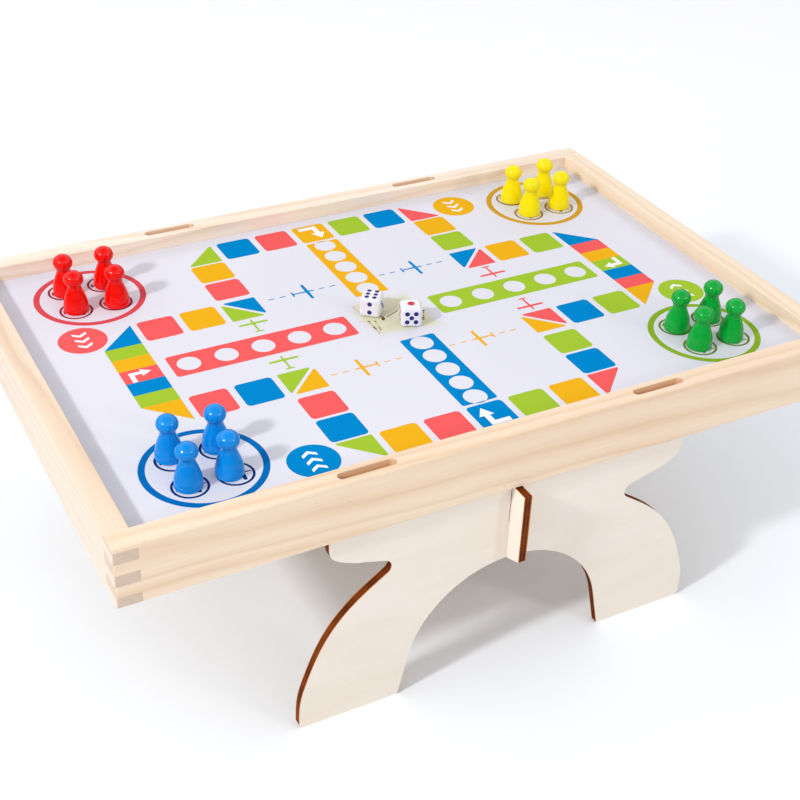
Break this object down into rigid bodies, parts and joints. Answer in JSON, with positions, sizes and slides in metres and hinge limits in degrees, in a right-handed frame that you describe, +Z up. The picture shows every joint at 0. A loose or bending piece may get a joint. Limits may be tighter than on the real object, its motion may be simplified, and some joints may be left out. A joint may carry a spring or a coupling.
{
  "type": "tabletop ludo board game on stand",
  "caption": "Shallow wooden tray with a printed ludo track, standing on a bench-shaped plywood stand, with coloured pawns and dice that lift off.",
  "frame": {"origin": "on the surface it stands on, under the middle of the tray", "axes": "+Z up, +X along the tray's long side to the right, -Y towards the player at the front"},
  "size_m": [0.36, 0.2528, 0.1458],
  "materials": {
    "pine": "satin",
    "board_plywood": "matte",
    "printed_paper": "satin",
    "stand_plywood": "matte",
    "red_plastic": "gloss",
    "blue_plastic": "gloss",
    "yellow_plastic": "gloss",
    "green_plastic": "gloss",
    "dice_white": "gloss"
  },
  "bodies": {
    "stand": {"front_leg_panel": "stand_plywood", "back_leg_panel": "stand_plywood", "leg_stretcher": "stand_plywood"},
    "tray": {"front_rail": "pine", "back_rail": "pine", "left_rail": "pine", "right_rail": "pine", "board_panel": "board_plywood", "printed_sheet": "printed_paper"},
    "pawn_red_1": {"pawn_red_1": "red_plastic"},
    "pawn_red_2": {"pawn_red_2": "red_plastic"},
    "pawn_red_3": {"pawn_red_3": "red_plastic"},
    "pawn_red_4": {"pawn_red_4": "red_plastic"},
    "pawn_blue_1": {"pawn_blue_1": "blue_plastic"},
    "pawn_blue_2": {"pawn_blue_2": "blue_plastic"},
    "pawn_blue_3": {"pawn_blue_3": "blue_plastic"},
    "pawn_blue_4": {"pawn_blue_4": "blue_plastic"},
    "pawn_yellow_1": {"pawn_yellow_1": "yellow_plastic"},
    "pawn_yellow_2": {"pawn_yellow_2": "yellow_plastic"},
    "pawn_yellow_3": {"pawn_yellow_3": "yellow_plastic"},
    "pawn_yellow_4": {"pawn_yellow_4": "yellow_plastic"},
    "pawn_green_1": {"pawn_green_1": "green_plastic"},
    "pawn_green_2": {"pawn_green_2": "green_plastic"},
    "pawn_green_3": {"pawn_green_3": "green_plastic"},
    "pawn_green_4": {"pawn_green_4": "green_plastic"},
    "die_1": {"die_1": "dice_white"},
    "die_2": {"die_2": "dice_white"}
  },
  "joints": [
    {"name": "tray_lift", "type": "slide", "parent": "stand", "child": "tray", "axis": [0, 0, 1], "range_m": [0, 0.06]},
    {"name": "pawn_red_1_lift", "type": "slide", "parent": "tray", "child": "pawn_red_1", "axis": [0, 0, 1], "range_m": [0, 0.05]},
    {"name": "pawn_red_2_lift", "type": "slide", "parent": "tray", "child": "pawn_red_2", "axis": [0, 0, 1], "range_m": [0, 0.05]},
    {"name": "pawn_red_3_lift", "type": "slide", "parent": "tray", "child": "pawn_red_3", "axis": [0, 0, 1], "range_m": [0, 0.05]},
    {"name": "pawn_red_4_lift", "type": "slide", "parent": "tray", "child": "pawn_red_4", "axis": [0, 0, 1], "range_m": [0, 0.05]},
    {"name": "pawn_blue_1_lift", "type": "slide", "parent": "tray", "child": "pawn_blue_1", "axis": [0, 0, 1], "range_m": [0, 0.05]},
    {"name": "pawn_blue_2_lift", "type": "slide", "parent": "tray", "child": "pawn_blue_2", "axis": [0, 0, 1], "range_m": [0, 0.05]},
    {"name": "pawn_blue_3_lift", "type": "slide", "parent": "tray", "child": "pawn_blue_3", "axis": [0, 0, 1], "range_m": [0, 0.05]},
    {"name": "pawn_blue_4_lift", "type": "slide", "parent": "tray", "child": "pawn_blue_4", "axis": [0, 0, 1], "range_m": [0, 0.05]},
    {"name": "pawn_yellow_1_lift", "type": "slide", "parent": "tray", "child": "pawn_yellow_1", "axis": [0, 0, 1], "range_m": [0, 0.05]},
    {"name": "pawn_yellow_2_lift", "type": "slide", "parent": "tray", "child": "pawn_yellow_2", "axis": [0, 0, 1], "range_m": [0, 0.05]},
    {"name": "pawn_yellow_3_lift", "type": "slide", "parent": "tray", "child": "pawn_yellow_3", "axis": [0, 0, 1], "range_m": [0, 0.05]},
    {"name": "pawn_yellow_4_lift", "type": "slide", "parent": "tray", "child": "pawn_yellow_4", "axis": [0, 0, 1], "range_m": [0, 0.05]},
    {"name": "pawn_green_1_lift", "type": "slide", "parent": "tray", "child": "pawn_green_1", "axis": [0, 0, 1], "range_m": [0, 0.05]},
    {"name": "pawn_green_2_lift", "type": "slide", "parent": "tray", "child": "pawn_green_2", "axis": [0, 0, 1], "range_m": [0, 0.05]},
    {"name": "pawn_green_3_lift", "type": "slide", "parent": "tray", "child": "pawn_green_3", "axis": [0, 0, 1], "range_m": [0, 0.05]},
    {"name": "pawn_green_4_lift", "type": "slide", "parent": "tray", "child": "pawn_green_4", "axis": [0, 0, 1], "range_m": [0, 0.05]},
    {"name": "die_1_lift", "type": "slide", "parent": "tray", "child": "die_1", "axis": [0, 0, 1], "range_m": [0, 0.05]},
    {"name": "die_2_lift", "type": "slide", "parent": "tray", "child": "die_2", "axis": [0, 0, 1], "range_m": [0, 0.05]}
  ]
}
